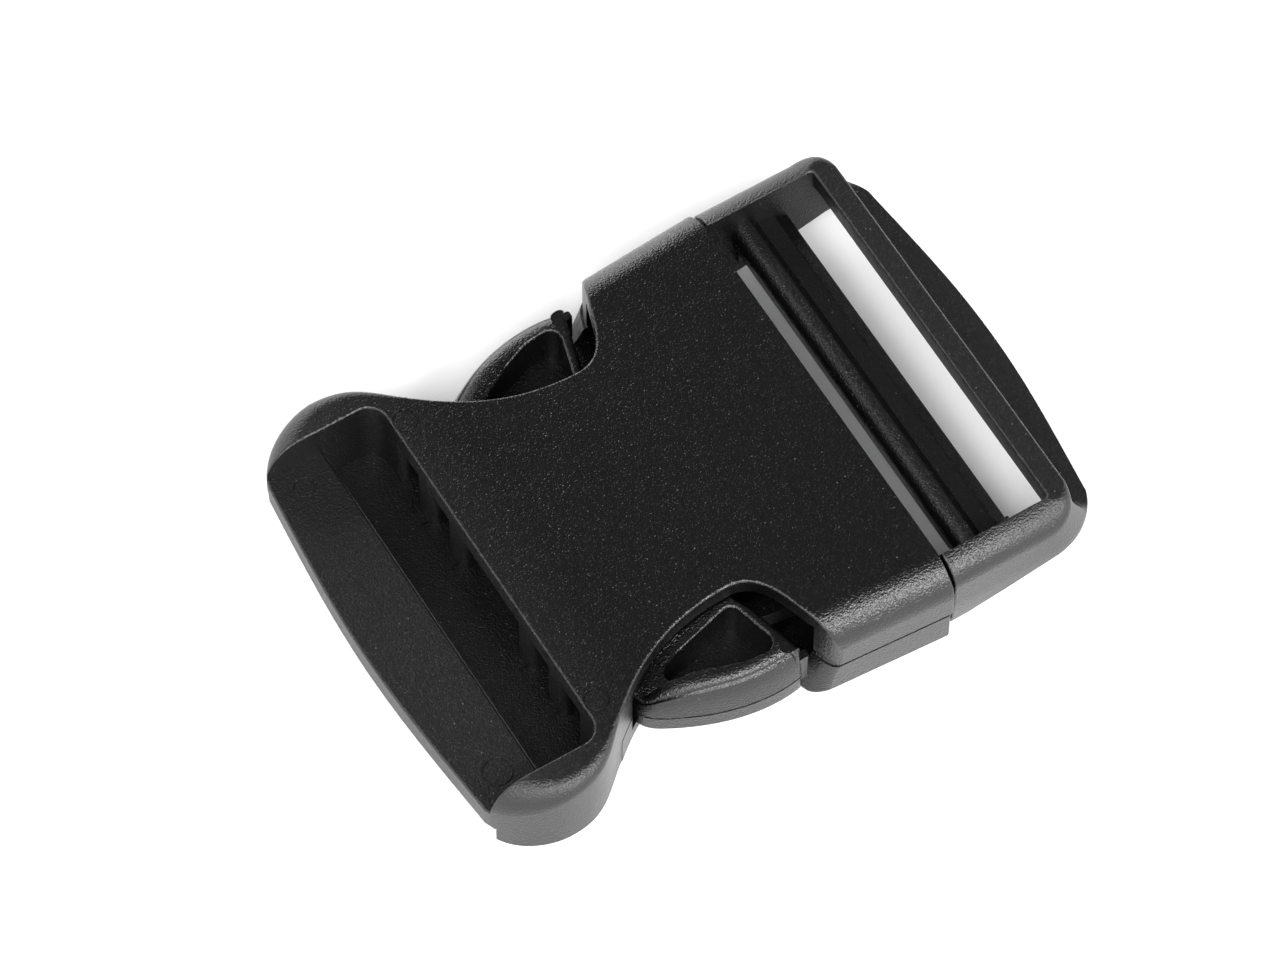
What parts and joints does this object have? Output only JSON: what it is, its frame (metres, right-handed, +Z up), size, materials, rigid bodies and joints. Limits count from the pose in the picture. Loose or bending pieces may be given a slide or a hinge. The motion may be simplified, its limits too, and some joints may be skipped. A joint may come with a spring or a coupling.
{
  "type": "side-release buckle",
  "caption": "Latched side-release buckle: socket with fixed web bar, plug with spring latch arms, guide prong and ladder-lock web adjuster with a lift tongue.",
  "frame": {"origin": "on the resting plane, under the middle of the latched buckle's box", "axes": "+X from the socket's web bar to the plug's lift tongue, +Y across the webbing, +Z up out of the top plate"},
  "size_m": [0.0868, 0.0606, 0.0134],
  "materials": {
    "black_acetal": "black acetal, fine spark-eroded grain, satin on worn and rounded edges"
  },
  "bodies": {
    "socket": {"socket": "black_acetal"},
    "plug": {"plug": "black_acetal"},
    "latch_arm_left": {"latch_arm_left": "black_acetal"},
    "latch_arm_right": {"latch_arm_right": "black_acetal"}
  },
  "joints": [
    {"name": "plug_slide", "type": "slide", "parent": "socket", "child": "plug", "axis": [1, 0, 0], "range_m": [0, 0.045], "deforming": ["latch_arm_left", "latch_arm_right"]},
    {"name": "latch_left_squeeze", "type": "hinge", "parent": "plug", "child": "latch_arm_left", "pos_m": [0.0132, 0.0196, 0.0067], "axis": [0, 0, 1], "range_deg": [0, 10], "stiffness_Nm_per_rad": 2},
    {"name": "latch_right_squeeze", "type": "hinge", "parent": "plug", "child": "latch_arm_right", "pos_m": [0.0132, -0.0196, 0.0067], "axis": [0, 0, -1], "range_deg": [0, 10], "stiffness_Nm_per_rad": 2}
  ]
}
